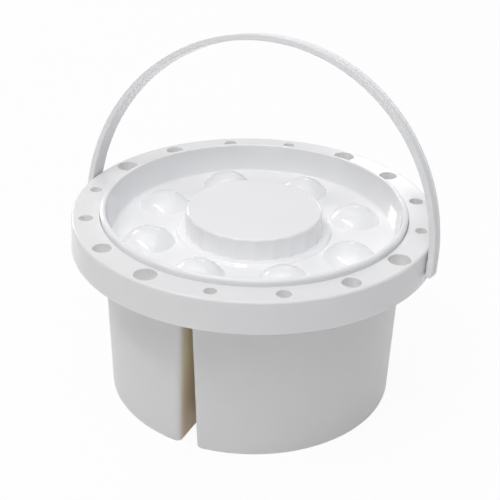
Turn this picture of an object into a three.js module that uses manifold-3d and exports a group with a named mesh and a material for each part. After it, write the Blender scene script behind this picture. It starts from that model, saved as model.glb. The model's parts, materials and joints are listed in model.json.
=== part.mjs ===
// Brush washer: a round plastic tub of three cups, a ring that holds brushes in its holes,
// a palette lid lying upside down in the ring, and a bail handle that hinges on the ring's skirt.
// Millimetres, +Z up. The origin is on the floor under the tub's centre, and the handle's
// pivots lie along X.
import * as THREE from 'three';
import { mergeVertices } from 'three/addons/utils/BufferGeometryUtils.js';
import Module from 'manifold-3d';

const wasm = await Module();
wasm.setup();

// Ring: top face, drafted skirt, and the holes for brush handles with a short collar under each
const RING_HEIGHT = 97.5;
const RING_EDGE_ROUND = 1.2;
const RING_PLATE = 2.4;
const SKIRT_DEPTH = 16.5;
const SKIRT_DRAFT = 2.1;
const SKIRT_WALL = 1.6;
const HOLE_LAND = 0.2;
const HOLE_DEPTH = 6.2;
const HOLE_COLLAR = 0.8;
const HOLE_DIAMETERS = [5.8, 6.7, 9.0, 10.8];
const HOLE_SETS = 4;
const FIRST_HOLE_ANGLE = 11.25;

// Ring: the recess that the lid lies in, and the tongues that plug into the cups
const RECESS_STEP = 1.4;
const RECESS_WALL = 1.2;
const LEDGE_PLATE = 2;
const TONGUE_WALL = 1.6;
const TONGUE_DEPTH = 5;

// Tub: cups with drafted walls, and slots between them that are open at the floor
const CUP_COUNT = 3;
const FIRST_SLOT_ANGLE = -90;
const TUB_FOOT_RADIUS = 73.3;
const TUB_DRAFT = 1.75;
const TUB_WALL = 2;
const TUB_FLOOR = 2.2;
const TUB_DECK = 2.2;
const DECK_INSET = 0.4;
const SLOT_FOOT_WIDTH = 8.3;
const SLOT_DRAFT = 1.25;
const CUP_CORNER_ROUND = 3;
const CUP_FOOT_ROUND = 1.6;

// Lid: rim, dished wall, floor, low step, fluted centre well and the ring of paint wells
const LID_RIM_WIDTH = 2.3;
const LID_RIM_BAND = 4;
const LID_PROUD = 3;
const LID_HEIGHT = 16.4;
const LID_PLATE = 1.8;
const LID_WALL_DRAFT = 10.5;
const LID_EDGE_ROUND = 0.8;
const LID_FLOOR_ROUND = 1.6;
const LID_TURN = -5;
const STEP_WIDTH = 3;
const STEP_HEIGHT = 1.3;
const STEP_ROUND = 0.6;
const WELL_FOOT_RADIUS = 35.3;
const WELL_HEIGHT = 12.3;
const WELL_DRAFT = 5.5;
const WELL_EDGE_ROUND = 1.4;
const FLUTE_COUNT = 24;
const FLUTE_DEPTH = 0.7;
const DOME_COUNT = 8;
const DOME_MARGIN = 2.3;
const DOME_RADIUS = 13.2;
const DOME_HEIGHT = 7.3;

// Handle: a half-round strap with a shallow channel, straight legs and snap pegs
const STRAP_THICKNESS = 3;
const STRAP_WIDTH = 9.8;
const STRAP_LEG = 5.2;
const CHANNEL_DEPTH = 0.7;
const CHANNEL_LIP = 1.3;
const PIVOT_DROP = 8.5;
const PEG_RADIUS = 2.9;
const PEG_HEAD_RADIUS = 3.7;
const PEG_HEAD_LENGTH = 2.6;
const PEG_HEAD_RIM = 0.6;
const PEG_TIP_RADIUS = 2.1;
const PEG_SLIT = 1;
const PEG_ROOT = 1.5;
const HANDLE_LEAN = 13.3;

// Clearances: pieces that rest, pieces that turn, and the lid in its recess
const SEAT_GAP = 0.3;
const RUNNING_GAP = 0.3;
const LID_PLAY = 0.5;
const STRAP_GAP = 0.5;

// How far a cutter runs past the face that it opens
const OVERRUN = 1;

// Facets
const ROUND_SEGMENTS = 72;
const HOLE_SEGMENTS = 16;
const DOME_SEGMENTS = 20;
const FLUTE_SEGMENTS = 4;
const CORNER_SEGMENTS = 4;
const CUP_CORNER_SEGMENTS = 3;
const ARC_SEGMENTS = 13;
const STRAP_SEGMENTS = 40;

// Heights and radii that follow from them
const TAU = 2 * Math.PI;
const rad = THREE.MathUtils.degToRad;
const deg = THREE.MathUtils.radToDeg;
const lidFoot = RING_HEIGHT + LID_PROUD - LID_HEIGHT;
const ledgeTop = lidFoot - SEAT_GAP;
const ledgeFoot = ledgeTop - LEDGE_PLATE;
const tubTop = ledgeFoot - SEAT_GAP;
const tubRadius = (z) => TUB_FOOT_RADIUS + z * Math.tan(rad(TUB_DRAFT));
const slotWidth = (z) => SLOT_FOOT_WIDTH - 2 * z * Math.tan(rad(SLOT_DRAFT));
const cupPitch = 360 / CUP_COUNT;
const cupTurns = Array.from({ length: CUP_COUNT }, (_, i) => FIRST_SLOT_ANGLE + (i + 0.5) * cupPitch);
const tongueFoot = ledgeFoot - TONGUE_DEPTH;
const tongueRadius = tubRadius(tongueFoot) - TUB_WALL - SEAT_GAP;
const tongueSide = slotWidth(tongueFoot) / 2 + TUB_WALL + CUP_CORNER_ROUND;
const tongueHalfSpan = cupPitch / 2 - deg(Math.asin(tongueSide / tongueRadius));
const recessRadius = tubRadius(tubTop) + RECESS_STEP;
const wallRadius = recessRadius + RECESS_WALL;
const widestHole = Math.max(...HOLE_DIAMETERS);
const holeCircleRadius = wallRadius + HOLE_LAND + widestHole / 2;
const ringTopRadius = holeCircleRadius + widestHole / 2 + HOLE_LAND + SKIRT_WALL;
const skirtFoot = RING_HEIGHT - SKIRT_DEPTH;
const skirtRadius = (z) => ringTopRadius + (RING_HEIGHT - z) * Math.tan(rad(SKIRT_DRAFT));
const lidRimRadius = recessRadius - LID_PLAY;
const stepRadius = WELL_FOOT_RADIUS + STEP_WIDTH;
const domeCircleRadius = stepRadius + DOME_MARGIN + DOME_RADIUS;
const pivotHeight = RING_HEIGHT - PIVOT_DROP;
const strapInner = skirtRadius(skirtFoot) + STRAP_GAP;
const strapOuter = strapInner + STRAP_THICKNESS;

const white = (color, roughness) => new THREE.MeshStandardMaterial({ color, roughness, metalness: 0 });
const finishes = {
  tub: white(0xe4e2dc, 0.5),
  ring: white(0xefeff1, 0.28),
  lid: white(0xedeef2, 0.18),
  handle: white(0xececf0, 0.3),
};

// A three.js geometry with its shared corners merged, as a solid for joining and cutting
function solid(geometry) {
  const bare = new THREE.BufferGeometry();
  bare.setAttribute('position', geometry.attributes.position.clone());
  bare.setIndex(geometry.index);
  const merged = mergeVertices(bare, 1e-4);
  const corners = [];
  for (let i = 0; i < merged.index.count; i += 3) {
    const [a, b, c] = [0, 1, 2].map((k) => merged.index.getX(i + k));
    if (a !== b && b !== c && c !== a) corners.push(a, b, c);
  }
  const mesh = new wasm.Mesh({
    numProp: 3,
    vertProperties: Float32Array.from(merged.attributes.position.array),
    triVerts: Uint32Array.from(corners),
  });
  return new wasm.Manifold(mesh);
}

function geometryOf(body) {
  const mesh = body.getMesh();
  const geometry = new THREE.BufferGeometry();
  geometry.setAttribute('position', new THREE.BufferAttribute(mesh.vertProperties, 3));
  geometry.setIndex(new THREE.BufferAttribute(mesh.triVerts, 1));
  geometry.computeVertexNormals();
  return geometry;
}

function piece(name, body, material) {
  const mesh = new THREE.Mesh(geometryOf(body), material);
  mesh.name = name;
  return mesh;
}

// Turns a closed outline of [radius, height] points about Z
function revolve(outline, segments = ROUND_SEGMENTS) {
  const points = [...outline, outline[0]].map(([r, z]) => new THREE.Vector2(r, z));
  return solid(new THREE.LatheGeometry(points, segments).rotateX(Math.PI / 2));
}

// Points of an arc in an outline, from one angle to another
function arc(centre, radius, from, to, steps = CORNER_SEGMENTS) {
  return Array.from({ length: steps + 1 }, (_, i) => {
    const angle = rad(from + ((to - from) * i) / steps);
    return [centre[0] + radius * Math.cos(angle), centre[1] + radius * Math.sin(angle)];
  });
}

// Closes a stack of level rings, lowest first, each a list of [x, y] at its height
function stack(levels) {
  const count = levels[0].ring.length;
  const positions = levels.flatMap(({ ring, z }) => ring.flatMap(([x, y]) => [x, y, z]));
  const middle = ({ ring, z }) => [
    ring.reduce((sum, p) => sum + p[0], 0) / count,
    ring.reduce((sum, p) => sum + p[1], 0) / count,
    z,
  ];
  positions.push(...middle(levels[0]), ...middle(levels.at(-1)));
  const low = levels.length * count;
  const high = low + 1;
  const index = [];
  for (let i = 0; i < count; i += 1) {
    const next = (i + 1) % count;
    for (let k = 0; k < levels.length - 1; k += 1) {
      const [a, b] = [k * count + i, k * count + next];
      index.push(a, b, b + count, a, b + count, a + count);
    }
    const top = (levels.length - 1) * count;
    index.push(low, next, i, high, top + i, top + next);
  }
  const geometry = new THREE.BufferGeometry();
  geometry.setAttribute('position', new THREE.Float32BufferAttribute(positions, 3));
  geometry.setIndex(index);
  return solid(geometry);
}

// A round bar between two heights, true to its radius across its flats
function bar(radius, from, to, segments = HOLE_SEGMENTS) {
  const size = radius / Math.cos(Math.PI / segments);
  const cylinder = new THREE.CylinderGeometry(size, size, to - from, segments);
  return solid(cylinder.rotateX(Math.PI / 2).translate(0, 0, (from + to) / 2));
}

const around = (body, radius, angle) => body.translate([radius, 0, 0]).rotate([0, 0, angle]);

// A cup's outline in plan: a sector between two slots, its corners rounded.
// inset moves the whole outline inwards, for the inside of a wall or for a rounded foot.
function cupOutline(z, inset, turn) {
  const round = Math.max(CUP_CORNER_ROUND - inset, 0.4);
  const side = slotWidth(z) / 2 + inset + round;
  const reach = tubRadius(z) - inset - round;
  const half = cupPitch / 2;
  const spread = half - deg(Math.asin(side / reach));
  const apex = side / Math.sin(rad(half));
  const corner = (angle) => [reach * Math.cos(rad(angle)), reach * Math.sin(rad(angle))];
  const outline = [
    ...arc([apex, 0], round, 90 + half, 270 - half, CUP_CORNER_SEGMENTS),
    ...arc(corner(-spread), round, -90 - half, -spread, CUP_CORNER_SEGMENTS),
    ...arc([0, 0], reach + round, -spread, spread, ARC_SEGMENTS).slice(1, -1),
    ...arc(corner(spread), round, spread, 90 + half, CUP_CORNER_SEGMENTS),
  ];
  const [c, s] = [Math.cos(rad(turn)), Math.sin(rad(turn))];
  return outline.map(([x, y]) => [x * c - y * s, x * s + y * c]);
}

function tub() {
  const deckFoot = tubTop - TUB_DECK;
  const deckRadius = tubRadius(deckFoot) - DECK_INSET;
  let body = revolve([[0, deckFoot], [deckRadius, deckFoot], [deckRadius, tubTop], [0, tubTop]]);
  const hollows = [];
  for (const turn of cupTurns) {
    const foot = [0, 45, 90].map((angle) => ({
      z: CUP_FOOT_ROUND * (1 - Math.cos(rad(angle))),
      ring: cupOutline(0, CUP_FOOT_ROUND * (1 - Math.sin(rad(angle))), turn),
    }));
    body = body.add(stack([...foot, { z: tubTop, ring: cupOutline(tubTop, 0, turn) }]));
    const inside = [TUB_FLOOR, tubTop + OVERRUN];
    hollows.push(stack(inside.map((z) => ({ z, ring: cupOutline(z, TUB_WALL, turn) }))));
  }
  for (const hollow of hollows) body = body.subtract(hollow);
  return body;
}

function ring() {
  const edge = [ringTopRadius - RING_EDGE_ROUND, RING_HEIGHT - RING_EDGE_ROUND];
  const plateFoot = RING_HEIGHT - RING_PLATE;
  const mouthRadius = tongueRadius - TONGUE_WALL;
  let body = revolve([
    [recessRadius, ledgeTop],
    [mouthRadius, ledgeTop],
    [mouthRadius, ledgeFoot],
    [wallRadius, ledgeFoot],
    [wallRadius, plateFoot],
    [skirtRadius(plateFoot) - SKIRT_WALL, plateFoot],
    [skirtRadius(skirtFoot) - SKIRT_WALL, skirtFoot],
    [skirtRadius(skirtFoot), skirtFoot],
    ...arc(edge, RING_EDGE_ROUND, 0, 90),
    [recessRadius, RING_HEIGHT],
  ]);
  const collar = revolve([
    [mouthRadius, ledgeTop],
    [mouthRadius, tongueFoot],
    [tongueRadius, tongueFoot],
    [tongueRadius, ledgeTop],
  ]);
  const sector = [[0, 0], ...arc([0, 0], wallRadius, -tongueHalfSpan, tongueHalfSpan)];
  const wedge = stack([tongueFoot - OVERRUN, ledgeTop].map((z) => ({ z, ring: sector })));
  for (const turn of cupTurns) body = body.add(collar.intersect(wedge.rotate([0, 0, turn])));
  const count = HOLE_SETS * HOLE_DIAMETERS.length;
  const collarFoot = RING_HEIGHT - HOLE_DEPTH;
  for (let i = 0; i < count; i += 1) {
    const radius = HOLE_DIAMETERS[i % HOLE_DIAMETERS.length] / 2;
    const guide = bar(radius + HOLE_COLLAR, collarFoot, RING_HEIGHT - HOLE_COLLAR);
    const hole = bar(radius, collarFoot - OVERRUN, RING_HEIGHT + OVERRUN);
    const angle = rad(FIRST_HOLE_ANGLE + (i * 360) / count);
    const place = [holeCircleRadius * Math.cos(angle), holeCircleRadius * Math.sin(angle), 0];
    body = body.add(guide.translate(place)).subtract(hole.translate(place));
  }
  const pivot = bar(PEG_RADIUS + RUNNING_GAP, holeCircleRadius, strapOuter);
  for (const turn of [0, 180]) {
    body = body.subtract(pivot.rotate([0, 90, turn]).translate([0, 0, pivotHeight]));
  }
  return body;
}

// A level of the centre well's fluted side: hollow flutes that meet in sharp ridges
function flutedRing(radius, depth) {
  return Array.from({ length: FLUTE_COUNT * FLUTE_SEGMENTS }, (_, i) => {
    const across = (i % FLUTE_SEGMENTS) / FLUTE_SEGMENTS;
    const r = radius - depth * Math.sin(Math.PI * across);
    const angle = (TAU * i) / (FLUTE_COUNT * FLUTE_SEGMENTS);
    return [r * Math.cos(angle), r * Math.sin(angle)];
  });
}

// The well as it shows from above, a drum moved in by inset, whose flutes fade at its round edge
function drum(foot, inset) {
  const lean = Math.tan(rad(WELL_DRAFT));
  const floorTop = LID_PLATE;
  const top = floorTop + WELL_HEIGHT - inset;
  const shoulder = top - WELL_EDGE_ROUND;
  const radiusAt = (z) => WELL_FOOT_RADIUS - inset - (z - floorTop - STEP_HEIGHT) * lean;
  const edge = arc([radiusAt(shoulder) - WELL_EDGE_ROUND, shoulder], WELL_EDGE_ROUND, 0, 90, 3);
  const full = shoulder - WELL_EDGE_ROUND;
  return stack([
    { z: foot, ring: flutedRing(radiusAt(foot), FLUTE_DEPTH) },
    { z: full, ring: flutedRing(radiusAt(full), FLUTE_DEPTH) },
    ...edge.map(([r, z]) => ({ z, ring: flutedRing(r, (FLUTE_DEPTH * (top - z)) / (top - full)) })),
  ]);
}

// A paint well as it shows from above: a round cap, on a stub that reaches down to foot
function dome(radius, height, base, foot) {
  const bend = (radius * radius + height * height) / (2 * height);
  const sweep = deg(Math.asin(radius / bend));
  const cap = arc([0, base + height - bend], bend, 90 - sweep, 90);
  return revolve([[0, foot], [radius, foot], ...cap], DOME_SEGMENTS);
}

function lid() {
  const rimInner = lidRimRadius - LID_RIM_WIDTH;
  const wallFoot = rimInner - (LID_HEIGHT - LID_PLATE) * Math.tan(rad(LID_WALL_DRAFT));
  const round = LID_EDGE_ROUND;
  const outerFoot = wallFoot + LID_RIM_WIDTH;
  const top = LID_HEIGHT - round;
  let body = revolve([
    [0, 0],
    [outerFoot - round, 0],
    ...arc([outerFoot - round, round], round, -90, 0, 2),
    [lidRimRadius, LID_HEIGHT - LID_RIM_BAND],
    ...arc([lidRimRadius - round, top], round, 0, 90, 3),
    ...arc([rimInner + round, top], round, 90, 180, 3),
    ...arc([wallFoot - LID_FLOOR_ROUND, LID_PLATE + LID_FLOOR_ROUND], LID_FLOOR_ROUND, 0, -90, 3),
    [stepRadius + STEP_HEIGHT, LID_PLATE],
    ...arc([stepRadius, LID_PLATE + STEP_HEIGHT - STEP_ROUND], STEP_ROUND, 0, 90, 2),
    [0, LID_PLATE + STEP_HEIGHT],
  ]);
  body = body.add(drum(LID_PLATE, 0));
  const cap = dome(DOME_RADIUS, DOME_HEIGHT, LID_PLATE, LID_PLATE / 2);
  const hollow = dome(DOME_RADIUS - LID_PLATE / 2, DOME_HEIGHT, 0, -OVERRUN);
  const turns = Array.from({ length: DOME_COUNT }, (_, i) => (i * 360) / DOME_COUNT);
  for (const turn of turns) body = body.add(around(cap, domeCircleRadius, turn));
  for (const turn of turns) body = body.subtract(around(hollow, domeCircleRadius, turn));
  return body.subtract(drum(-OVERRUN, LID_PLATE));
}

// A band of the handle's outline in its own plane: half a ring with straight legs
function band(inner, outer, leg, width) {
  const shape = new THREE.Shape();
  shape.moveTo(outer, -leg);
  shape.absarc(0, 0, outer, 0, Math.PI, false);
  shape.lineTo(-outer, -leg);
  shape.lineTo(-inner, -leg);
  shape.absarc(0, 0, inner, Math.PI, 0, true);
  shape.lineTo(inner, -leg);
  const settings = { depth: width, bevelEnabled: false, curveSegments: STRAP_SEGMENTS };
  const plate = new THREE.ExtrudeGeometry(shape, settings);
  return solid(plate.translate(0, 0, -width / 2).rotateX(Math.PI / 2));
}

function handle() {
  let body = band(strapInner, strapOuter, STRAP_LEG, STRAP_WIDTH);
  const channelFloor = strapOuter - CHANNEL_DEPTH;
  const channelWidth = STRAP_WIDTH - 2 * CHANNEL_LIP;
  const channel = band(channelFloor, strapOuter + OVERRUN, STRAP_LEG - CHANNEL_LIP, channelWidth);
  body = body.subtract(channel);
  const skirtInner = skirtRadius(pivotHeight + PEG_HEAD_RADIUS) - SKIRT_WALL;
  const headRoot = Math.sqrt(skirtInner ** 2 - PEG_HEAD_RADIUS ** 2) - RUNNING_GAP;
  const tip = headRoot - PEG_HEAD_LENGTH;
  const root = strapInner + STRAP_THICKNESS / 2;
  const peg = revolve([
    [0, tip],
    [PEG_TIP_RADIUS, tip],
    [PEG_HEAD_RADIUS, headRoot - PEG_HEAD_RIM],
    [PEG_HEAD_RADIUS, headRoot],
    [PEG_RADIUS, headRoot],
    [PEG_RADIUS, root],
    [0, root],
  ], HOLE_SEGMENTS);
  const slitFrom = tip - OVERRUN;
  const slitTo = strapInner - PEG_ROOT;
  const slit = new THREE.BoxGeometry(2 * PEG_HEAD_RADIUS + OVERRUN, PEG_SLIT, slitTo - slitFrom);
  const snap = peg.subtract(solid(slit.translate(0, 0, (slitFrom + slitTo) / 2)));
  for (const turn of [0, 180]) body = body.add(snap.rotate([0, 90, turn]));
  return body;
}

const washer = new THREE.Group();
washer.add(piece('tub', tub(), finishes.tub));
washer.add(piece('brush_ring', ring(), finishes.ring));

const paletteLid = piece('palette_lid', lid(), finishes.lid);
paletteLid.position.z = lidFoot;
paletteLid.rotation.z = rad(LID_TURN);
washer.add(paletteLid);

const bail = piece('handle', handle(), finishes.handle);
bail.position.z = pivotHeight;
bail.rotation.x = rad(-HANDLE_LEAN);
washer.add(bail);

export default washer;
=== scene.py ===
"""Brush washer of white moulded plastic: a tub of three cups, a ring with holes for brushes,
a palette lid that lies upside down in the ring, and a bail handle."""
import json
import math

import bpy
from mathutils import Matrix, Vector

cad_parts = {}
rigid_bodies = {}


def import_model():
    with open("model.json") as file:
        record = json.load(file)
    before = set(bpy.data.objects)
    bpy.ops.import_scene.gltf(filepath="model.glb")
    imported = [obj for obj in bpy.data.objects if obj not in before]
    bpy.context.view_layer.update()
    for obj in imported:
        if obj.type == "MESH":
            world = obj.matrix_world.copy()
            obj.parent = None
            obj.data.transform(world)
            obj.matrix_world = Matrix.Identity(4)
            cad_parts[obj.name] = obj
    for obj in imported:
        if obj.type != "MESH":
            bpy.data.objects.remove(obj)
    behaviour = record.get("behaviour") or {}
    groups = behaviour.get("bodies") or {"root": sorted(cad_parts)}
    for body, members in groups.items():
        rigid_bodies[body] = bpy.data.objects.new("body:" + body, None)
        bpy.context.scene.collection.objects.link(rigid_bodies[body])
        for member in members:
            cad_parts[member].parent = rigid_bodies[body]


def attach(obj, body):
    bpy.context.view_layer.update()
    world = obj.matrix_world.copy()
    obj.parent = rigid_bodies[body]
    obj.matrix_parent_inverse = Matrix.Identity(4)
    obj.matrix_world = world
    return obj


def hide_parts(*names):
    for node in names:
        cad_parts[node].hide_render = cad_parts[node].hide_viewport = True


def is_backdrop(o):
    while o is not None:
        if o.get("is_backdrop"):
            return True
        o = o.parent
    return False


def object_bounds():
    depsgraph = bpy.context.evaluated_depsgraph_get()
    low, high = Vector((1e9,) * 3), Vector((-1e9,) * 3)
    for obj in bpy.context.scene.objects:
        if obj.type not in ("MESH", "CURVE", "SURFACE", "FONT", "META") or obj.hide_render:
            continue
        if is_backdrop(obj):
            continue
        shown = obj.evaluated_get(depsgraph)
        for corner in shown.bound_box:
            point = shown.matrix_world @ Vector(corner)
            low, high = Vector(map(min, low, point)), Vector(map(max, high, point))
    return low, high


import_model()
cad_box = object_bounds()
scene = bpy.context.scene


# Tub: three rinsing cups moulded in one piece, with drafted walls, rounded corners and a web
# that joins them at the top. The slots between the cups are open at the floor.
# Satin white polypropylene, a little creamier than the ring.
MM = 0.001
CUP_TURNS = (-30, 90, 210)
CUP_HALF_PITCH = 60
TUB_FOOT_RADIUS = 73.3
TUB_DRAFT = math.tan(math.radians(1.75))
TUB_WALL = 2.0
TUB_TOP = 81.5
WEB_FOOT = 79.3
WEB_BEAD = 0.25
SLOT_FOOT_WIDTH = 8.3
SLOT_DRAFT = math.tan(math.radians(1.25))
CUP_CORNER = 3.0
CUP_FOOT_ROUND = 1.6
CUP_STANDING_FACE = 2.4
CUP_BASE_RECESS = 0.8
CUP_FLOOR = 2.2
CUP_FLOOR_ROUND = 2.4
CUP_LIP_ROUND = 1.0
CUP_BASE_ROUND = 0.3
CUP_HOLD = 0.3
# Painted light in the slots between the cups: a warm painted glow high up that turns to darker painted
# shade low down, standing in for light through the thin translucent walls.
SLOT_PAINTED_SHADE_COLOUR = (0.66, 0.52, 0.35, 1)
SLOT_PAINTED_GLOW_COLOUR = (1.0, 0.92, 0.72, 1)
SLOT_EDGE = 0.0055
SLOT_INSIDE = 0.0042
SLOT_MOUTH_RADIUS = 0.0755
SLOT_DEEP_RADIUS = 0.068
SLOT_PAINTED_GLOW_HEIGHT = 0.05
SMOOTH_UP_TO = math.radians(14)
TRANSLUCENCY = 0.3
TRANSLUCENCY_DEPTH = 0.003
BUMP_DEPTH = 0.0001


def arc_points(centre, radius, start, end, steps):
    """Points of an arc in a plane, from one angle to another, in degrees."""
    angles = [math.radians(start + (end - start) * i / steps) for i in range(steps + 1)]
    return [(centre[0] + radius * math.cos(a), centre[1] + radius * math.sin(a)) for a in angles]


def shaded(mesh):
    """Smooth shading that stops at real edges."""
    mesh.validate()
    mesh.shade_smooth()
    mesh.set_sharp_from_angle(angle=SMOOTH_UP_TO)
    return mesh


def new_piece(name, points, faces):
    """An object in the scene from points in millimetres."""
    mesh = bpy.data.meshes.new(name)
    mesh.from_pydata([(x * MM, y * MM, z * MM) for x, y, z in points], [], faces)
    piece = bpy.data.objects.new(name, shaded(mesh))
    scene.collection.objects.link(piece)
    return piece


def loft(levels):
    """A closed solid from a stack of closed outlines, lowest first, each a list of points."""
    count = len(levels[0])
    points = [p for level in levels for p in level]
    faces = [tuple(reversed(range(count)))]
    for k in range(len(levels) - 1):
        for i in range(count):
            j = (i + 1) % count
            faces.append((k * count + i, k * count + j, (k + 1) * count + j, (k + 1) * count + i))
    faces.append(tuple(range((len(levels) - 1) * count, len(levels) * count)))
    return points, faces


def revolved(outline, segments, closed=True):
    """A solid of revolution from an outline of (radius, height), counter-clockwise, or an open sheet."""
    points, faces, first = [], [], []
    for r, z in outline:
        first.append(len(points))
        turns = segments if r > 0 else 1
        points += [(r * math.cos(math.tau * i / segments), r * math.sin(math.tau * i / segments), z)
                   for i in range(turns)]
    for k in range(len(outline) if closed else len(outline) - 1):
        after = (k + 1) % len(outline)
        a, b = first[k], first[after]
        for i in range(segments):
            j = (i + 1) % segments
            if outline[k][0] > 0 and outline[after][0] > 0:
                faces.append((a + i, a + j, b + j, b + i))
            elif outline[k][0] > 0:
                faces.append((a + i, a + j, b))
            elif outline[after][0] > 0:
                faces.append((a, b + j, b + i))
    return points, faces


def rounded(corners, hold=0.12, closed=True):
    """An outline whose corners (x, y, radius) are arcs, each with a holding point on both sides."""
    outline = []
    last = len(corners) - 1
    for k, (x, y, radius) in enumerate(corners):
        corner = Vector((x, y))
        if radius <= 0 or (not closed and k in (0, last)):
            outline.append((x, y))
            continue
        before = (Vector(corners[k - 1][:2]) - corner).normalized()
        after = (Vector(corners[(k + 1) % len(corners)][:2]) - corner).normalized()
        half = before.angle(after) / 2
        turn = math.pi - 2 * half
        reach = radius / math.tan(half)
        centre = corner + (before + after).normalized() * (radius / math.sin(half))
        start, end = corner + before * reach, corner + after * reach
        steps = max(3, math.ceil(turn / math.radians(11.25)))
        outline.append(tuple(start + before * hold))
        for i in range(steps + 1):
            from_start = math.sin(turn * (steps - i) / steps) / math.sin(turn)
            from_end = math.sin(turn * i / steps) / math.sin(turn)
            outline.append(tuple(centre + (start - centre) * from_start + (end - centre) * from_end))
        outline.append(tuple(end + after * hold))
    return outline


def joined(piece, others, operation):
    """Adds other solids to a piece or cuts them from it, and removes them."""
    for other in others:
        step = piece.modifiers.new(other.name, "BOOLEAN")
        step.operation = operation
        step.solver = "EXACT"
        step.object = other
    evaluated = piece.evaluated_get(bpy.context.evaluated_depsgraph_get())
    mesh = bpy.data.meshes.new_from_object(evaluated)
    piece.modifiers.clear()
    for other in others:
        bpy.data.objects.remove(other)
    mesh.name = piece.name
    piece.data = shaded(mesh)
    return piece


def cup_outline(z, inset, turn):
    """A cup's outline in plan at a height, moved inwards by inset: a sector with rounded corners."""
    corner = max(CUP_CORNER - max(inset, 0), 1.2)
    side = (SLOT_FOOT_WIDTH - 2 * z * SLOT_DRAFT) / 2 + inset + corner
    reach = TUB_FOOT_RADIUS + z * TUB_DRAFT - inset - corner
    spread = CUP_HALF_PITCH - math.degrees(math.asin(side / reach))
    apex = side / math.sin(math.radians(CUP_HALF_PITCH))
    near, far = (arc_points((0, 0), reach, a, a, 1)[0] for a in (-spread, spread))
    outline = arc_points((apex, 0), corner, 90 + CUP_HALF_PITCH, 270 - CUP_HALF_PITCH, 8)
    outline += arc_points(near, corner, -90 - CUP_HALF_PITCH, -spread, 10)
    outline += arc_points((0, 0), reach + corner, -spread, spread, 56)[1:-1]
    outline += arc_points(far, corner, spread, 90 + CUP_HALF_PITCH, 10)
    spin = Matrix.Rotation(math.radians(turn), 2)
    return [(*(spin @ Vector(p)), z) for p in outline]


def cup_solids(name, profile):
    """The three cups as solids, from one profile of (inset, height) points, lowest first."""
    return [new_piece(name, *loft([cup_outline(z, inset, turn) for inset, z in profile]))
            for turn in CUP_TURNS]


standing = CUP_FOOT_ROUND + CUP_STANDING_FACE
outer_profile = [(standing + 1.1, CUP_BASE_RECESS), (standing + 0.4, CUP_BASE_RECESS)]
inner_round = (standing + 0.4, CUP_BASE_RECESS - CUP_BASE_ROUND)
outer_round = (standing - 0.2, CUP_BASE_ROUND)
outer_profile += arc_points(inner_round, CUP_BASE_ROUND, 90, 180, 4)[1:]
outer_profile += arc_points(outer_round, CUP_BASE_ROUND, 0, -90, 4)
outer_profile += [(standing - 0.4, 0), (CUP_FOOT_ROUND + 0.2, 0)]
outer_profile += arc_points((CUP_FOOT_ROUND, CUP_FOOT_ROUND), CUP_FOOT_ROUND, 270, 180, 8)
outer_profile += [(0, CUP_FOOT_ROUND + CUP_HOLD), (0, (WEB_FOOT + TUB_TOP) / 2)]

floor_corner = (TUB_WALL + CUP_FLOOR_ROUND, CUP_FLOOR + CUP_FLOOR_ROUND)
lip_corner = (TUB_WALL - CUP_LIP_ROUND, TUB_TOP - CUP_LIP_ROUND)
hollow_profile = [(floor_corner[0] + 1, CUP_FLOOR), (floor_corner[0] + CUP_HOLD, CUP_FLOOR)]
hollow_profile += arc_points(floor_corner, CUP_FLOOR_ROUND, 270, 180, 8)
hollow_profile += [(TUB_WALL, floor_corner[1] + CUP_HOLD), (TUB_WALL, lip_corner[1] - CUP_HOLD)]
hollow_profile += arc_points(lip_corner, CUP_LIP_ROUND, 0, 75, 6)
hollow_profile += [(TUB_WALL - CUP_LIP_ROUND - 0.86, TUB_TOP + 0.3)]

web_radius = TUB_FOOT_RADIUS + TUB_TOP * TUB_DRAFT + WEB_BEAD
web = rounded([
    (0, WEB_FOOT, 0),
    (web_radius, WEB_FOOT, 0.25),
    (web_radius, TUB_TOP, 0.5),
    (0, TUB_TOP, 0),
])
tub = new_piece("tub_cups", *revolved(web, 360))
joined(tub, cup_solids("cup", outer_profile), "UNION")
joined(tub, cup_solids("hollow", hollow_profile), "DIFFERENCE")


def node(tree, kind, inputs=(), **settings):
    """A node with its settings, and a value or a link for each input that is named."""
    made = tree.nodes.new(kind)
    for key, value in settings.items():
        setattr(made, key, value)
    for key, value in dict(inputs).items():
        if isinstance(value, bpy.types.NodeSocket):
            tree.links.new(value, made.inputs[key])
        else:
            made.inputs[key].default_value = value
    return made


def maths(tree, operation, *values):
    """A Math node's result."""
    return node(tree, "ShaderNodeMath", dict(enumerate(values)), operation=operation).outputs[0]


def between(tree, factor, colour, other):
    """Two colours mixed by a factor."""
    return node(tree, "ShaderNodeMix", {0: factor, 6: colour, 7: other}, data_type="RGBA").outputs[2]


def ramp(tree, value, start, end):
    """0 where a value is at the start or before it, 1 at the end or past it."""
    return node(tree, "ShaderNodeMapRange", {"Value": value, "From Min": start, "From Max": end}).outputs[0]


def new_tree(name, kind, inputs, outputs):
    """A node tree with named inputs and outputs. It gives the tree, its inputs and its output node."""
    tree = bpy.data.node_groups.new(name, kind)
    for label, socket_type, value in inputs:
        socket = tree.interface.new_socket(label, in_out="INPUT", socket_type=socket_type)
        if value is not None:
            socket.default_value = value
    for label, socket_type in outputs:
        tree.interface.new_socket(label, in_out="OUTPUT", socket_type=socket_type)
    return tree, tree.nodes.new("NodeGroupInput").outputs, tree.nodes.new("NodeGroupOutput").inputs


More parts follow.
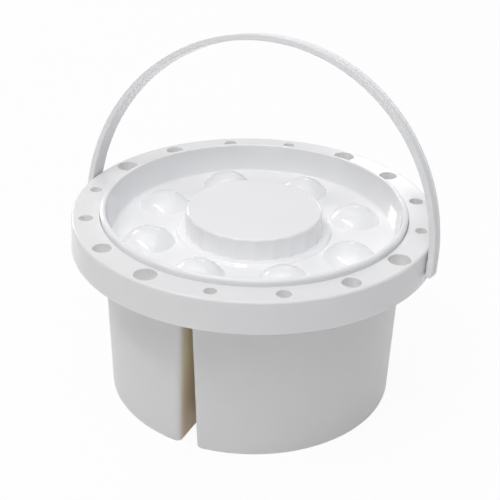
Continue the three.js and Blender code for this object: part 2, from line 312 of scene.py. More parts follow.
skin, given, result = new_tree("moulded_skin", "ShaderNodeTree", [
    ("Colour", "NodeSocketColor", (0.8, 0.8, 0.8, 1)),
    ("Cloud Colour", "NodeSocketColor", (0.78, 0.78, 0.78, 1)),
    ("Cloud Scale", "NodeSocketFloat", 28.0),
    ("Roughness", "NodeSocketFloat", 0.3),
    ("Haze", "NodeSocketFloat", 0.05),
    ("Ripple Scale", "NodeSocketFloat", 60.0),
    ("Ripple", "NodeSocketFloat", 0.7),
    ("Grain Scale", "NodeSocketFloat", 1400.0),
    ("Grain", "NodeSocketFloat", 0.01),
], [("Colour", "NodeSocketColor"), ("Roughness", "NodeSocketFloat"), ("Height", "NodeSocketFloat")])
surface = node(skin, "ShaderNodeTexCoord").outputs["Object"]
cloud = node(skin, "ShaderNodeTexNoise", {"Vector": surface, "Scale": given["Cloud Scale"], "Detail": 3.0})
cloudy = ramp(skin, cloud.outputs[0], 0.35, 0.7)
clouded = between(skin, cloudy, given["Colour"], given["Cloud Colour"])
skin.links.new(clouded, result["Colour"])
haze = node(skin, "ShaderNodeTexNoise", {"Vector": surface, "Scale": 95.0, "Detail": 5.0, "Roughness": 0.6})
haze_drift = maths(skin, "SUBTRACT", haze.outputs[0], 0.5)
hazed = maths(skin, "MULTIPLY_ADD", haze_drift, given["Haze"], given["Roughness"])
skin.links.new(hazed, result["Roughness"])
ripple = node(skin, "ShaderNodeTexNoise",
              {"Vector": surface, "Scale": given["Ripple Scale"], "Detail": 1.0})
grain = node(skin, "ShaderNodeTexNoise", {"Vector": surface, "Scale": given["Grain Scale"], "Detail": 2.0})
ripples = maths(skin, "MULTIPLY", ripple.outputs[0], given["Ripple"])
skin.links.new(maths(skin, "MULTIPLY_ADD", grain.outputs[0], given["Grain"], ripples), result["Height"])


def plastic(name, look, translucency):
    """A white plastic, whose colour, roughness and bump come from the moulded skin."""
    material = bpy.data.materials.new(name)
    material.use_nodes = True
    tree = material.node_tree
    shader = tree.nodes["Principled BSDF"]
    shader.inputs["IOR"].default_value = 1.5
    shader.inputs["Subsurface Weight"].default_value = translucency
    shader.inputs["Subsurface Radius"].default_value = (1.0, 1.0, 1.0)
    shader.inputs["Subsurface Scale"].default_value = TRANSLUCENCY_DEPTH
    coat = node(tree, "ShaderNodeGroup", look, node_tree=skin)
    bump = node(tree, "ShaderNodeBump", {"Height": coat.outputs["Height"], "Distance": BUMP_DEPTH})
    tree.links.new(coat.outputs["Colour"], shader.inputs["Base Color"])
    tree.links.new(coat.outputs["Roughness"], shader.inputs["Roughness"])
    tree.links.new(bump.outputs[0], shader.inputs["Normal"])
    return material, tree, shader, coat


def place_and_radius(tree):
    """A point's separate coordinates on the piece, and its distance from the washer's axis."""
    on_piece = node(tree, "ShaderNodeTexCoord").outputs["Object"]
    place = node(tree, "ShaderNodeSeparateXYZ", {0: on_piece}).outputs
    squares = [maths(tree, "POWER", place[axis], 2.0) for axis in "XY"]
    return place, maths(tree, "SQRT", maths(tree, "ADD", *squares))


tub_plastic, tree, shader, coat = plastic("satin_white", {
    "Colour": (0.872, 0.866, 0.864, 1),
    "Cloud Colour": (0.856, 0.852, 0.85, 1),
    "Roughness": 0.4,
    "Haze": 0.12,
    "Grain": 0.03,
}, TRANSLUCENCY)
place, radius = place_and_radius(tree)
# Painted light in the slots between the cups: deep in a slot and below the web, the colour turns to a warm
# painted glow near the top and darker painted shade near the floor, and the subsurface is turned off there.
bearing = maths(tree, "ARCTAN2", place["X"], maths(tree, "MULTIPLY", place["Y"], -1.0))
off_slot = maths(tree, "PINGPONG", bearing, math.radians(CUP_HALF_PITCH))
aside = maths(tree, "MULTIPLY", radius, maths(tree, "SINE", off_slot))
from_slot = maths(tree, "MULTIPLY_ADD", place["Z"], SLOT_DRAFT, aside)
below_web = maths(tree, "LESS_THAN", place["Z"], (WEB_FOOT + TUB_TOP) / 2 * MM)
in_slot = ramp(tree, from_slot, SLOT_EDGE, SLOT_INSIDE)
how_deep = ramp(tree, radius, SLOT_MOUTH_RADIUS, SLOT_DEEP_RADIUS)
slot_painted_light_mask = maths(tree, "MULTIPLY", maths(tree, "MULTIPLY", in_slot, how_deep), below_web)
how_high = ramp(tree, place["Z"], 0.0, SLOT_PAINTED_GLOW_HEIGHT)
slot_painted_colour = between(tree, how_high, SLOT_PAINTED_SHADE_COLOUR, SLOT_PAINTED_GLOW_COLOUR)
slot_with_painted_light = between(tree, slot_painted_light_mask, coat.outputs["Colour"], slot_painted_colour)
slot_translucency = maths(tree, "MULTIPLY_ADD", slot_painted_light_mask, -TRANSLUCENCY, TRANSLUCENCY)
tree.links.new(slot_with_painted_light, shader.inputs["Base Color"])
tree.links.new(slot_translucency, shader.inputs["Subsurface Weight"])
tub.data.materials.clear()
tub.data.materials.append(tub_plastic)
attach(tub, "tub")
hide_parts("tub")


# Ring: one moulding that carries everything else. A flat top with sixteen holes, each with a short
# collar below, a drafted skirt, the recess for the lid, and three tongues that plug into the cups.
# Smooth white plastic, whiter and glossier than the tub.
RING_SEGMENTS = 384
RING_TOP = 97.5
RING_PLATE_FOOT = 95.1
RING_TOP_RADIUS = 91.19
SKIRT_FOOT = 81.0
SKIRT_FOOT_RADIUS = 91.795
SKIRT_WALL = 1.6
RECESS_RADIUS = 77.19
RECESS_WALL = 1.2
LEDGE_TOP = 83.8
LEDGE_FOOT = 81.8
MOUTH_RADIUS = 71.75
TONGUE_RADIUS = 73.35
TONGUE_FOOT = 76.8
TONGUE_HALF_SPAN = 52.9
HOLE_CIRCLE = 83.99
HOLE_DIAMETERS = (5.8, 6.7, 9.0, 10.8)
HOLE_COUNT = 16
FIRST_HOLE_ANGLE = 11.25
HOLE_LIP = 0.3
HOLE_DEPTH = 6.2
COLLAR_WALL = 0.8
COLLAR_EDGE = 0.2
PIVOT_HEIGHT = 89.0
PIVOT_HOLE_RADIUS = 3.2
PIVOT_DRILL_END = 95.0
PIVOT_SEGMENTS = 48
DRILL_PAST_TOP = 0.2
DRILL_PAST_FOOT = 1.0
# Painted light in the brush holes: under the ring's top, between the recess and the skirt, the colour is
# nearly pure white, standing in for light through the thin collars.
HOLE_PAINTED_GLOW_COLOUR = (0.995, 0.995, 0.985, 1)
HOLE_GLOW_TOP = 0.0971
HOLE_GLOW_INNER = 0.0786
HOLE_GLOW_OUTER = 0.0903

ring_plastic, tree, shader, coat = plastic("smooth_white", {
    "Colour": (0.905, 0.905, 0.907, 1),
    "Cloud Colour": (0.895, 0.895, 0.899, 1),
    "Roughness": 0.17,
    "Haze": 0.06,
    "Grain": 0.008,
}, TRANSLUCENCY)
# Painted light: below the top and between the recess and the skirt, the holes' collars and the ring's
# underside are painted nearly pure white, a painted glow for light through thin plastic.
place, radius = place_and_radius(tree)
below_top = maths(tree, "LESS_THAN", place["Z"], HOLE_GLOW_TOP)
past_recess = maths(tree, "GREATER_THAN", radius, HOLE_GLOW_INNER)
inside_skirt = maths(tree, "LESS_THAN", radius, HOLE_GLOW_OUTER)
hole_glow_zone = maths(tree, "MULTIPLY", below_top, maths(tree, "MULTIPLY", past_recess, inside_skirt))
hole_painted_glow = between(tree, hole_glow_zone, coat.outputs["Colour"], HOLE_PAINTED_GLOW_COLOUR)
tree.links.new(hole_painted_glow, shader.inputs["Base Color"])

skirt_inner_top = RING_TOP_RADIUS - SKIRT_WALL + (SKIRT_FOOT_RADIUS - RING_TOP_RADIUS) * 2.4 / 16.5
ring_outline = rounded([
    (RECESS_RADIUS, LEDGE_TOP, 0.5),
    (MOUTH_RADIUS, LEDGE_TOP, 0.5),
    (MOUTH_RADIUS, LEDGE_FOOT, 0.3),
    (RECESS_RADIUS + RECESS_WALL, LEDGE_FOOT, 0.4),
    (RECESS_RADIUS + RECESS_WALL, RING_PLATE_FOOT, 0.12),
    (skirt_inner_top, RING_PLATE_FOOT, 0.3),
    (SKIRT_FOOT_RADIUS - SKIRT_WALL, SKIRT_FOOT, 0.35),
    (SKIRT_FOOT_RADIUS, SKIRT_FOOT, 0.45),
    (RING_TOP_RADIUS, RING_TOP, 1.2),
    (RECESS_RADIUS, RING_TOP, 0.5),
], hold=0.1)
ring = new_piece("holder_ring", *revolved(ring_outline, RING_SEGMENTS))


def tongue_level(z, inset, turn):
    """A tongue's outline in plan at a height: part of a thin ring, moved inwards by inset."""
    inner, outer = MOUTH_RADIUS + 0.02 + inset, TONGUE_RADIUS - inset
    span = TONGUE_HALF_SPAN - math.degrees(inset / outer)
    outline = arc_points((0, 0), outer, turn - span, turn + span, 48)
    outline += arc_points((0, 0), inner, turn + span, turn - span, 48)
    return [(x, y, z) for x, y in outline]


tongue_profile = arc_points((0.4, TONGUE_FOOT + 0.4), 0.4, 270, 180, 5) + [(0, LEDGE_FOOT + 0.6)]
joined(ring, [new_piece("tongue", *loft([tongue_level(z, inset, turn) for inset, z in tongue_profile]))
              for turn in CUP_TURNS], "UNION")

pivot_drill = [
    (0, HOLE_CIRCLE),
    (PIVOT_HOLE_RADIUS, HOLE_CIRCLE),
    (PIVOT_HOLE_RADIUS, PIVOT_DRILL_END),
    (0, PIVOT_DRILL_END),
]
half_segment = Matrix.Rotation(math.radians(180 / PIVOT_SEGMENTS), 4, "Z")
pivot_drills = []
for side in (90, -90):
    cutter = new_piece("pivot_hole", *revolved(pivot_drill, PIVOT_SEGMENTS))
    cutter.data.transform(Matrix.Rotation(math.radians(side), 4, "Y") @ half_segment)
    cutter.data.transform(Matrix.Translation((0, 0, PIVOT_HEIGHT * MM)))
    pivot_drills.append(cutter)
joined(ring, pivot_drills, "DIFFERENCE")


def add_points_on_circle(tree, count, radius, first_angle):
    """Points at even steps round the Z axis."""
    index = node(tree, "GeometryNodeInputIndex").outputs["Index"]
    step = maths(tree, "DIVIDE", math.tau, count)
    angle = maths(tree, "MULTIPLY_ADD", index, step, first_angle)
    unit = node(tree, "ShaderNodeCombineXYZ", {
        "X": maths(tree, "COSINE", angle), "Y": maths(tree, "SINE", angle)})
    place = node(tree, "ShaderNodeVectorMath", {0: unit.outputs[0], "Scale": radius}, operation="SCALE")
    points = node(tree, "GeometryNodePoints", {"Count": count, "Position": place.outputs[0]})
    return points.outputs[0], index


def made_by(tree, piece, values):
    """Runs a Geometry Nodes tree on a piece with its inputs set, and keeps the result as a plain mesh."""
    step = piece.modifiers.new(tree.name, "NODES")
    step.node_group = tree
    for socket in tree.interface.items_tree:
        if socket.in_out == "INPUT" and socket.name in values:
            step[socket.identifier] = values[socket.name]
    evaluated = piece.evaluated_get(bpy.context.evaluated_depsgraph_get())
    mesh = bpy.data.meshes.new_from_object(evaluated)
    piece.modifiers.remove(step)
    mesh.name = piece.name
    piece.data = shaded(mesh)
    return piece


holes_tree, given, result = new_tree("brush_holes", "GeometryNodeTree", [
    ("Ring", "NodeSocketGeometry", None),
    ("Collars", "NodeSocketCollection", None),
    ("Drills", "NodeSocketCollection", None),
    ("Sizes", "NodeSocketInt", 4),
    ("Holes", "NodeSocketInt", 16),
    ("Circle Radius", "NodeSocketFloat", 0.084),
    ("First Angle", "NodeSocketFloat", 0.0),
    ("Plastic", "NodeSocketMaterial", None),
], [("Ring", "NodeSocketGeometry")])
places, index = add_points_on_circle(
    holes_tree, given["Holes"], given["Circle Radius"], given["First Angle"])
kind = node(holes_tree, "FunctionNodeIntegerMath", {0: index, 1: given["Sizes"]}, operation="MODULO")
tools = []
for label in ("Collars", "Drills"):
    kinds = node(holes_tree, "GeometryNodeCollectionInfo",
                 {"Collection": given[label], "Separate Children": True}, transform_space="RELATIVE")
    tools.append(node(holes_tree, "GeometryNodeInstanceOnPoints", {
        "Points": places, "Instance": kinds.outputs[0],
        "Pick Instance": True, "Instance Index": kind.outputs[0]}))
collared = node(holes_tree, "GeometryNodeMeshBoolean", operation="UNION", solver="EXACT")
for part in (given["Ring"], tools[0].outputs[0]):
    holes_tree.links.new(part, collared.inputs["Mesh 2"])
drilled = node(holes_tree, "GeometryNodeMeshBoolean",
               {"Mesh 1": collared.outputs["Mesh"], "Mesh 2": tools[1].outputs[0]},
               operation="DIFFERENCE", solver="EXACT")


def finish_tree(tree, shape, plastic_input, output):
    """Ends a tree: its shape is made real and takes its plastic."""
    whole = node(tree, "GeometryNodeRealizeInstances", {"Geometry": shape})
    dressed = node(tree, "GeometryNodeSetMaterial",
                   {"Geometry": whole.outputs[0], "Material": plastic_input})
    tree.links.new(dressed.outputs[0], output)


finish_tree(holes_tree, drilled.outputs["Mesh"], given["Plastic"], result["Ring"])

collar_set = bpy.data.collections.new("collars")
drill_set = bpy.data.collections.new("drills")
collar_foot = RING_TOP - HOLE_DEPTH
for rank, diameter in enumerate(HOLE_DIAMETERS):
    reach = diameter / 2
    drill_foot, drill_top = collar_foot - DRILL_PAST_FOOT, RING_TOP + DRILL_PAST_TOP
    drill = [(0, drill_foot), (reach, drill_foot), (reach, RING_TOP - HOLE_LIP - 0.1)]
    drill += arc_points((reach + HOLE_LIP, RING_TOP - HOLE_LIP), HOLE_LIP, 180, 105, 5)
    drill += [(reach + HOLE_LIP + 0.7, drill_top), (0, drill_top)]
    outside = reach + COLLAR_WALL
    collar = [(0, collar_foot), (outside - COLLAR_EDGE, collar_foot)]
    collar += arc_points((outside - COLLAR_EDGE, collar_foot + COLLAR_EDGE), COLLAR_EDGE, 270, 360, 4)[1:]
    collar += [(outside, RING_TOP - COLLAR_WALL), (0, RING_TOP - COLLAR_WALL)]
    for name, outline, tool_set in (("collar", collar, collar_set), ("drill", drill, drill_set)):
        tool = new_piece(f"{name}_{rank}", *revolved(outline, 64))
        scene.collection.objects.unlink(tool)
        tool_set.objects.link(tool)
made_by(holes_tree, ring, {
    "Collars": collar_set,
    "Drills": drill_set,
    "Sizes": len(HOLE_DIAMETERS),
    "Holes": HOLE_COUNT,
    "Circle Radius": HOLE_CIRCLE * MM,
    "First Angle": math.radians(FIRST_HOLE_ANGLE),
    "Plastic": ring_plastic,
})
for tool_set in (collar_set, drill_set):
    for tool in list(tool_set.objects):
        bpy.data.objects.remove(tool)
    bpy.data.collections.remove(tool_set)
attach(ring, "tub")
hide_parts("brush_ring")


# Palette lid: a shallow dish that lies upside down in the ring, so its eight paint wells and its
# fluted centre well stand up from its floor. Thin glossy white plastic, one moulding.
LID_SEGMENTS = 480
LID_TURN = -5
LID_FOOT = 84.1
LID_FLOOR = 85.9
LID_TOP = 100.5
LID_BAND_FOOT = 96.5
LID_RIM_OUTER = 77.07
LID_RIM_INNER = 74.39
LID_WALL_FOOT = 71.68
LID_OUTER_FOOT = 73.98
STEP_RADIUS = 38.3
STEP_TOP = 87.2
DRUM_FOOT_RADIUS = 35.3
DRUM_TOP = 98.2
DRUM_DRAFT = math.tan(math.radians(5.5))
DRUM_EDGE = 1.4
DRUM_UNDER_TOP = 96.4
DRUM_UNDER_RADIUS = 33.8
FLUTES = 24
FLUTE_DEPTH = 0.7
FLUTE_FADE = 1.2
WELLS = 8
WELL_CIRCLE = 53.8
WELL_SEGMENTS = 72
WELL_BEND = 15.58
WELL_HEIGHT = 7.3
WELL_FILLET = 0.7
WELL_UNDER_BEND = 14.01
WELL_UNDER_FILLET = 0.8
HOLD = 0.1
WELD_DISTANCE = 0.000005
LID_TRANSLUCENCY = 0.1
LID_IOR = 1.59

lid_plastic, _, shader, _ = plastic("glossy_white", {
    "Colour": (0.972, 0.974, 0.982, 1),
    "Cloud Colour": (0.965, 0.968, 0.978, 1),
    "Roughness": 0.07,
    "Haze": 0.03,
    "Ripple": 0.4,
    "Grain": 0.003,
}, LID_TRANSLUCENCY)
shader.inputs["IOR"].default_value = LID_IOR

flutes_tree, given, result = new_tree("fluted_side", "GeometryNodeTree", [
    ("Lid", "NodeSocketGeometry", None),
    ("Flutes", "NodeSocketInt", 24),
    ("Depth", "NodeSocketFloat", 0.0007),
    ("Plastic", "NodeSocketMaterial", None),
], [("Lid", "NodeSocketGeometry")])
flute = node(flutes_tree, "GeometryNodeInputNamedAttribute", {"Name": "flute"}, data_type="FLOAT")
share = flute.outputs[0]
position = node(flutes_tree, "GeometryNodeInputPosition").outputs[0]
parts = node(flutes_tree, "ShaderNodeSeparateXYZ", {0: position})
bearing = maths(flutes_tree, "ARCTAN2", parts.outputs["Y"], parts.outputs["X"])
step = maths(flutes_tree, "DIVIDE", math.tau, given["Flutes"])
across = maths(flutes_tree, "FRACT", maths(flutes_tree, "DIVIDE", bearing, step))
hollow = maths(flutes_tree, "SINE", maths(flutes_tree, "MULTIPLY", across, math.pi))
inwards = maths(flutes_tree, "MULTIPLY", maths(flutes_tree, "MULTIPLY", hollow, given["Depth"]), share)
flat = node(flutes_tree, "ShaderNodeVectorMath", {0: position, 1: (-1, -1, 0)}, operation="MULTIPLY")
towards = node(flutes_tree, "ShaderNodeVectorMath", {0: flat.outputs[0]}, operation="NORMALIZE")
shift = node(flutes_tree, "ShaderNodeVectorMath",
             {0: towards.outputs[0], "Scale": inwards}, operation="SCALE")
moved = node(flutes_tree, "GeometryNodeSetPosition", {"Geometry": given["Lid"], "Offset": shift.outputs[0]})
finish_tree(flutes_tree, moved.outputs[0], given["Plastic"], result["Lid"])

sheet_tree, given, result = new_tree("sheet_of_wells", "GeometryNodeTree", [
    ("Well", "NodeSocketObject", None),
    ("Wells", "NodeSocketInt", 8),
    ("Circle Radius", "NodeSocketFloat", 0.054),
    ("Well Radius", "NodeSocketFloat", 0.0137),
    ("Well Points", "NodeSocketInt", 72),
    ("Inner Radius", "NodeSocketFloat", 0.04),
    ("Outer Radius", "NodeSocketFloat", 0.07),
    ("Edge Points", "NodeSocketInt", 480),
    ("Level", "NodeSocketFloat", 0.086),
], [("Sheet", "NodeSocketGeometry")])
places, index = add_points_on_circle(sheet_tree, given["Wells"], given["Circle Radius"], 0.0)
edges = []
for count, size in (("Edge Points", "Inner Radius"),
                    ("Edge Points", "Outer Radius"),
                    ("Well Points", "Well Radius")):
    circle = node(sheet_tree, "GeometryNodeCurvePrimitiveCircle",
                  {"Resolution": given[count], "Radius": given[size]})
    edges.append(circle.outputs["Curve"])
mouths = node(sheet_tree, "GeometryNodeInstanceOnPoints", {"Points": places, "Instance": edges[2]})
mouth_curves = node(sheet_tree, "GeometryNodeRealizeInstances", {"Geometry": mouths.outputs[0]})
outlines = node(sheet_tree, "GeometryNodeJoinGeometry")
for curve in (edges[0], edges[1], mouth_curves.outputs[0]):
    sheet_tree.links.new(curve, outlines.inputs[0])
floor_face = node(sheet_tree, "GeometryNodeFillCurve", {"Curve": outlines.outputs[0]}, mode="TRIANGLES")
well_shape = node(sheet_tree, "GeometryNodeObjectInfo",
                  {"Object": given["Well"]}, transform_space="RELATIVE")
wells = node(sheet_tree, "GeometryNodeInstanceOnPoints",
             {"Points": places, "Instance": well_shape.outputs["Geometry"]})
well_meshes = node(sheet_tree, "GeometryNodeRealizeInstances", {"Geometry": wells.outputs[0]})
sheet = node(sheet_tree, "GeometryNodeJoinGeometry")
for part in (floor_face.outputs[0], well_meshes.outputs[0]):
    sheet_tree.links.new(part, sheet.inputs[0])
height = node(sheet_tree, "ShaderNodeCombineXYZ", {"Z": given["Level"]})
raised = node(sheet_tree, "GeometryNodeTransform",
              {"Geometry": sheet.outputs[0], "Translation": height.outputs[0]})
sheet_tree.links.new(raised.outputs[0], result["Sheet"])

lid_tree, given, result = new_tree("palette", "GeometryNodeTree", [
    ("Lid", "NodeSocketGeometry", None),
    ("Well", "NodeSocketObject", None),
    ("Under Well", "NodeSocketObject", None),
    ("Wells", "NodeSocketInt", 8),
    ("Circle Radius", "NodeSocketFloat", 0.054),
    ("Well Radius", "NodeSocketFloat", 0.0137),
    ("Under Well Radius", "NodeSocketFloat", 0.0129),
    ("Well Points", "NodeSocketInt", 72),
    ("Inner Radius", "NodeSocketFloat", 0.04),
    ("Outer Radius", "NodeSocketFloat", 0.07),
    ("Under Inner Radius", "NodeSocketFloat", 0.035),
    ("Under Outer Radius", "NodeSocketFloat", 0.073),
    ("Edge Points", "NodeSocketInt", 480),
    ("Level", "NodeSocketFloat", 0.086),
    ("Under Level", "NodeSocketFloat", 0.084),
    ("Plastic", "NodeSocketMaterial", None),
], [("Lid", "NodeSocketGeometry")])
shared = {label: given[label] for label in ("Wells", "Circle Radius", "Well Points", "Edge Points")}
sheets = []
for side in ("", "Under "):
    labels = ("Well", "Well Radius", "Inner Radius", "Outer Radius", "Level")
    own = {label: given[side + label] for label in labels}
    sheets.append(node(lid_tree, "GeometryNodeGroup", {**shared, **own}, node_tree=sheet_tree).outputs[0])
turned_over = node(lid_tree, "GeometryNodeFlipFaces", {"Mesh": sheets[1]})
shell = node(lid_tree, "GeometryNodeJoinGeometry")
for part in (given["Lid"], sheets[0], turned_over.outputs[0]):
    lid_tree.links.new(part, shell.inputs[0])
welded = node(lid_tree, "GeometryNodeMergeByDistance",
              {"Geometry": shell.outputs[0], "Distance": WELD_DISTANCE})
finish_tree(lid_tree, welded.outputs[0], given["Plastic"], result["Lid"])


def well_cap(name, bend, fillet):
    """A paint well as it stands up from the lid's floor: a round cap with a fillet at its foot."""
    middle = WELL_HEIGHT - bend
    reach = math.sqrt((bend + fillet) ** 2 - (fillet - middle) ** 2)
    tilt = math.degrees(math.asin(reach / (bend + fillet)))
    outline = [(reach + HOLD, 0)]
    outline += arc_points((reach, fillet), fillet, 270, 270 - tilt, 6)
    outline += arc_points((0, middle), bend, 90 - tilt, 90, 22)[1:-1]
    outline += [(0, WELL_HEIGHT)]
    return new_piece(name, *revolved(outline, WELL_SEGMENTS, closed=False)), reach + HOLD


well, well_radius = well_cap("well", WELL_BEND, WELL_FILLET)
under_well, under_well_radius = well_cap("under_well", WELL_UNDER_BEND, WELL_UNDER_FILLET)

drum_top_radius = DRUM_FOOT_RADIUS - (DRUM_TOP - STEP_TOP) * DRUM_DRAFT
under_top_radius = DRUM_UNDER_RADIUS - (DRUM_UNDER_TOP - LID_FOOT) * DRUM_DRAFT
drum_outline = rounded([
    (STEP_RADIUS + 1.65, LID_FLOOR, 0),
    (STEP_RADIUS + 1.3, LID_FLOOR, 0.3),
    (STEP_RADIUS, STEP_TOP, 0.5),
    (DRUM_FOOT_RADIUS, STEP_TOP, 0.45),
    (drum_top_radius, DRUM_TOP, DRUM_EDGE),
    (0, DRUM_TOP, 0),
], hold=HOLD, closed=False)
rim_outline = rounded([
    (LID_OUTER_FOOT - 1.2, LID_FOOT, 0),
    (LID_OUTER_FOOT, LID_FOOT, 0.8),
    (LID_RIM_OUTER, LID_BAND_FOOT, 3.0),
    (LID_RIM_OUTER, LID_TOP, 1.6),
    (LID_RIM_INNER, LID_TOP, 0.9),
    (LID_WALL_FOOT, LID_FLOOR, 1.6),
    (LID_WALL_FOOT - 1.8, LID_FLOOR, 0),
], hold=HOLD, closed=False)
under_outline = rounded([
    (0, DRUM_UNDER_TOP, 0),
    (under_top_radius, DRUM_UNDER_TOP, 1.0),
    (DRUM_UNDER_RADIUS, LID_FOOT, 0.6),
    (DRUM_UNDER_RADIUS + 1.2, LID_FOOT, 0),
], hold=HOLD, closed=False)


def flute_share(r, z, top, reach):
    """How much of the flutes' depth a point takes: all on the centre well's side, none past its ends."""
    fades_up = (top - z) / (2 * DRUM_EDGE)
    fades_out = (reach - r) / FLUTE_FADE
    return max(0.0, min(1.0, fades_up, fades_out))


lid_points, lid_faces, lid_shares = [], [], []
for outline, top, reach in ((drum_outline, DRUM_TOP, STEP_RADIUS - 0.8), (rim_outline, 0, 0),
                            (under_outline, DRUM_UNDER_TOP, DRUM_UNDER_RADIUS + 1.2)):
    points, faces = revolved(outline, LID_SEGMENTS, closed=False)
    lid_faces += [tuple(len(lid_points) + i for i in face) for face in faces]
    lid_points += points
    lid_shares += [flute_share(math.hypot(x, y), z, top, reach) for x, y, z in points]
lid = new_piece("palette_dish", lid_points, lid_faces)
lid.data.attributes.new("flute", "FLOAT", "POINT").data.foreach_set("value", lid_shares)
made_by(flutes_tree, lid, {"Flutes": FLUTES, "Depth": FLUTE_DEPTH * MM, "Plastic": lid_plastic})
made_by(lid_tree, lid, {
    "Well": well,
    "Under Well": under_well,
    "Wells": WELLS,
    "Circle Radius": WELL_CIRCLE * MM,
    "Well Radius": well_radius * MM,
    "Under Well Radius": under_well_radius * MM,
    "Well Points": WELL_SEGMENTS,
    "Inner Radius": drum_outline[0][0] * MM,
    "Outer Radius": rim_outline[-1][0] * MM,
    "Under Inner Radius": under_outline[-1][0] * MM,
    "Under Outer Radius": rim_outline[0][0] * MM,
    "Edge Points": LID_SEGMENTS,
    "Level": LID_FLOOR * MM,
    "Under Level": LID_FOOT * MM,
    "Plastic": lid_plastic,
})
for shape in (well, under_well):
    bpy.data.objects.remove(shape)
lid.data.transform(Matrix.Rotation(math.radians(LID_TURN), 4, "Z"))
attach(lid, "lid")
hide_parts("palette_lid")


# Bail handle: a half-round strap of smooth white plastic with a shallow channel in its outer face.
# Its straight legs end in slit pegs that snap into the ring's skirt, and it leans back at rest.
STRAP_INNER = 92.295
STRAP_THICKNESS = 3.0
STRAP_WIDTH = 9.8
STRAP_LEG = 5.2
STRAP_LEAN = 13.3
CHANNEL_DEPTH = 0.7
CHANNEL_LIP = 1.3
STRAP_END_ROUND = 0.6
PEG_RADIUS = 2.9
PEG_HEAD_RADIUS = 3.7
PEG_HEAD_ROOT = 89.39
PEG_TIP = 86.79
PEG_TIP_RADIUS = 2.1
PEG_SLIT = 1.0
PEG_ROOT = 1.5
STRAP_STEPS = 120

handle_plastic, _, _, _ = plastic("handle_white", {
    "Colour": (0.92, 0.922, 0.932, 1),
    "Cloud Colour": (0.91, 0.913, 0.925, 1),
    "Roughness": 0.31,
    "Haze": 0.04,
    "Grain": 0.008,
}, 0.0)


def strap_section(share, inset):
    """The strap's section, (outwards, across): how far its channel is open, and an inset at its ends."""
    half = STRAP_WIDTH / 2 - inset
    lip = half - CHANNEL_LIP
    low, high = inset, STRAP_THICKNESS - inset
    floor = high - CHANNEL_DEPTH
    section = rounded([
        (low, -half, 0.5), (high, -half, 0.4), (high, -lip, 0.15), (floor, -lip + 0.3, 0.15),
        (floor, lip - 0.3, 0.15), (high, lip, 0.15), (high, half, 0.4), (low, half, 0.5),
    ], hold=0.05)
    opened = []
    for out, across in section:
        in_channel = abs(across) < lip + 0.25 and out > floor - 0.01
        opened.append((high - (high - out) * share if in_channel else out, across))
    return opened


def strap_level(drop, angle, share, inset):
    """The section set on the strap's path: an angle on the half circle, and how far it hangs below it."""
    turn = math.radians(angle)
    return [((STRAP_INNER + out) * math.cos(turn), across, (STRAP_INNER + out) * math.sin(turn) - drop)
            for out, across in strap_section(share, inset)]


leg = [(STRAP_LEG - inner, 0.02, rim) for rim, inner in
       arc_points((STRAP_END_ROUND, STRAP_END_ROUND), STRAP_END_ROUND, 270, 180, 4)]
leg += [(STRAP_LEG - 1.2, 0.02, 0.0), (STRAP_LEG - 1.6, 1.0, 0.0), (STRAP_LEG - 2.0, 1.0, 0.0)]
strap_levels = [strap_level(drop, 0, share, inset) for drop, share, inset in leg]
strap_levels += [strap_level(0, 180 * i / STRAP_STEPS, 1.0, 0.0) for i in range(STRAP_STEPS + 1)]
strap_levels += [strap_level(drop, 180, share, inset) for drop, share, inset in reversed(leg)]
handle = new_piece("bail_handle", *loft(strap_levels))

peg_outline = [
    (0, PEG_TIP),
    (PEG_TIP_RADIUS, PEG_TIP),
    (PEG_HEAD_RADIUS, PEG_HEAD_ROOT - 0.6),
    (PEG_HEAD_RADIUS, PEG_HEAD_ROOT),
    (PEG_RADIUS, PEG_HEAD_ROOT),
    (PEG_RADIUS, STRAP_INNER + PEG_ROOT),
    (0, STRAP_INNER + PEG_ROOT),
]
pegs, slits = [], []
for side in (90, -90):
    aside = Matrix.Rotation(math.radians(side), 4, "Y")
    peg = new_piece("peg", *revolved(peg_outline, PIVOT_SEGMENTS))
    peg.data.transform(aside @ half_segment)
    pegs.append(peg)
    half, reach = PEG_SLIT / 2, PEG_HEAD_RADIUS + 1
    cut = [[(-reach, -half, z), (reach, -half, z), (reach, half, z), (-reach, half, z)]
           for z in (PEG_TIP - 1, STRAP_INNER - PEG_ROOT)]
    slit = new_piece("slit", *loft(cut))
    slit.data.transform(aside)
    slits.append(slit)
joined(handle, pegs, "UNION")
joined(handle, slits, "DIFFERENCE")
lean = Matrix.Rotation(math.radians(-STRAP_LEAN), 4, "X")
handle.data.transform(Matrix.Translation((0, 0, PIVOT_HEIGHT * MM)) @ lean)
handle.data.materials.clear()
handle.data.materials.append(handle_plastic)
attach(handle, "handle")
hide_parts("handle")


# Table: a plain white sheet that the washer stands on. To the camera it is nearly the paper white
# of the backdrop, and it keeps the washer's shadow.
TABLE_REACH = 6
PAPER_SHARE = 0.94

corners = [(x * TABLE_REACH, y * TABLE_REACH, 0) for x, y in ((-1, -1), (1, -1), (1, 1), (-1, 1))]
floor_mesh = bpy.data.meshes.new("table")
floor_mesh.from_pydata(corners, [], [(0, 1, 2, 3)])
floor = bpy.data.objects.new("table", floor_mesh)
scene.collection.objects.link(floor)


def seen_directly(tree):
    """1 for the camera's rays and what shines or is looked through, 0 for the light on the object."""
    rays = node(tree, "ShaderNodeLightPath").outputs
    mirrored = maths(tree, "MAXIMUM", rays["Is Glossy Ray"], rays["Is Transmission Ray"])
    return maths(tree, "MAXIMUM", rays["Is Camera Ray"], mirrored)


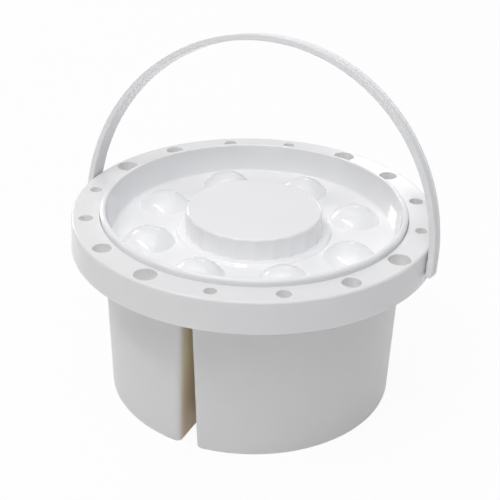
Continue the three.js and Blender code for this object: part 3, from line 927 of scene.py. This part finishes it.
paper = bpy.data.materials.new("paper_white")
paper.use_nodes = True
tree = paper.node_tree
tree.nodes.clear()
lit = node(tree, "ShaderNodeBsdfDiffuse", {"Color": (0.97, 0.97, 0.97, 1)})
backdrop = node(tree, "ShaderNodeEmission", {"Color": (1, 1, 1, 1), "Strength": 1.0})
paper_share = maths(tree, "MULTIPLY", seen_directly(tree), PAPER_SHARE)
mixed = node(tree, "ShaderNodeMixShader", {0: paper_share, 1: lit.outputs[0], 2: backdrop.outputs[0]})
node(tree, "ShaderNodeOutputMaterial", {"Surface": mixed.outputs[0]})
paper.cycles.emission_sampling = "NONE"
floor_mesh.materials.append(paper)
floor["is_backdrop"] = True


# Light: a pale room, large soft boxes high in front and straight above, a weak one behind, a long
# lamp over the left shoulder, and two windows low at the back.
ROOM_STRENGTH = 0.16
LAMP_TARGET = Vector((0, 0, 0.09))
COOL = (0.97, 0.97, 1.0)
SKY = (0.93, 0.955, 1.0)
WARM = (1.0, 0.97, 0.93)

world = bpy.data.worlds.new("white_room")
scene.world = world
world.use_nodes = True
tree = world.node_tree
tree.nodes.clear()
room = node(tree, "ShaderNodeBackground", {"Color": (0.97, 0.98, 1.0, 1), "Strength": ROOM_STRENGTH})
backdrop = node(tree, "ShaderNodeBackground", {"Color": (1, 1, 1, 1), "Strength": 1.0})
mixed = node(tree, "ShaderNodeMixShader",
             {0: seen_directly(tree), 1: room.outputs[0], 2: backdrop.outputs[0]})
node(tree, "ShaderNodeOutputWorld", {"Surface": mixed.outputs[0]})


def add_lamp(name, azimuth, elevation, distance, size, radiance, colour):
    """A rectangular lamp that faces the washer from an azimuth and elevation in degrees."""
    around, up = math.radians(azimuth), math.radians(elevation)
    direction = Vector((math.cos(up) * math.cos(around), math.cos(up) * math.sin(around), math.sin(up)))
    lamp = bpy.data.lights.new(name, "AREA")
    lamp.shape = "RECTANGLE"
    lamp.size, lamp.size_y = size
    lamp.energy = radiance * math.pi * size[0] * size[1]
    lamp.color = colour
    holder = bpy.data.objects.new(name, lamp)
    facing = direction.to_track_quat("Z", "Y").to_matrix().to_4x4()
    holder.matrix_world = Matrix.Translation(direction * distance + LAMP_TARGET) @ facing
    holder.visible_camera = False
    scene.collection.objects.link(holder)


add_lamp("front_soft_box", 287, 58, 2.4, (2.4, 2.4), 0.82, SKY)
add_lamp("overhead_soft_box", 200, 89, 2.2, (2.2, 2.2), 0.98, COOL)
add_lamp("back_soft_box", 110, 60, 2.2, (1.4, 1.4), 0.5, COOL)
add_lamp("long_lamp", 243, 62, 2.2, (2.1, 0.2), 9.0, WARM)
add_lamp("back_left_window", 148, 17, 1.6, (0.42, 0.3), 9.0, WARM)
add_lamp("back_right_window", 105.2, 24, 1.6, (0.14, 0.085), 7.0, COOL)


# Camera: where the photograph was taken from, a long lens a little above the washer.
CAMERA_PLACE = (0.22269, -0.49859, 0.36949)
CAMERA_AROUND = math.radians(24.24)
CAMERA_TILT = math.radians(61.6058)
CAMERA_ROLL = math.radians(1.4001)
CAMERA_LENS = 87.37

camera_data = bpy.data.cameras.new("camera")
camera_data.lens = CAMERA_LENS
camera_data.sensor_width = 36.0
camera_data.clip_start = 0.05
camera = bpy.data.objects.new("camera", camera_data)
camera.matrix_world = (Matrix.Translation(CAMERA_PLACE)
                       @ Matrix.Rotation(CAMERA_AROUND, 4, "Z")
                       @ Matrix.Rotation(CAMERA_TILT, 4, "X")
                       @ Matrix.Rotation(CAMERA_ROLL, 4, "Z"))
scene.collection.objects.link(camera)
scene.camera = camera
scene.view_settings.view_transform = "Standard"

size = {"cad": [list(corner) for corner in cad_box], "visual": [list(corner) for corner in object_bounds()]}
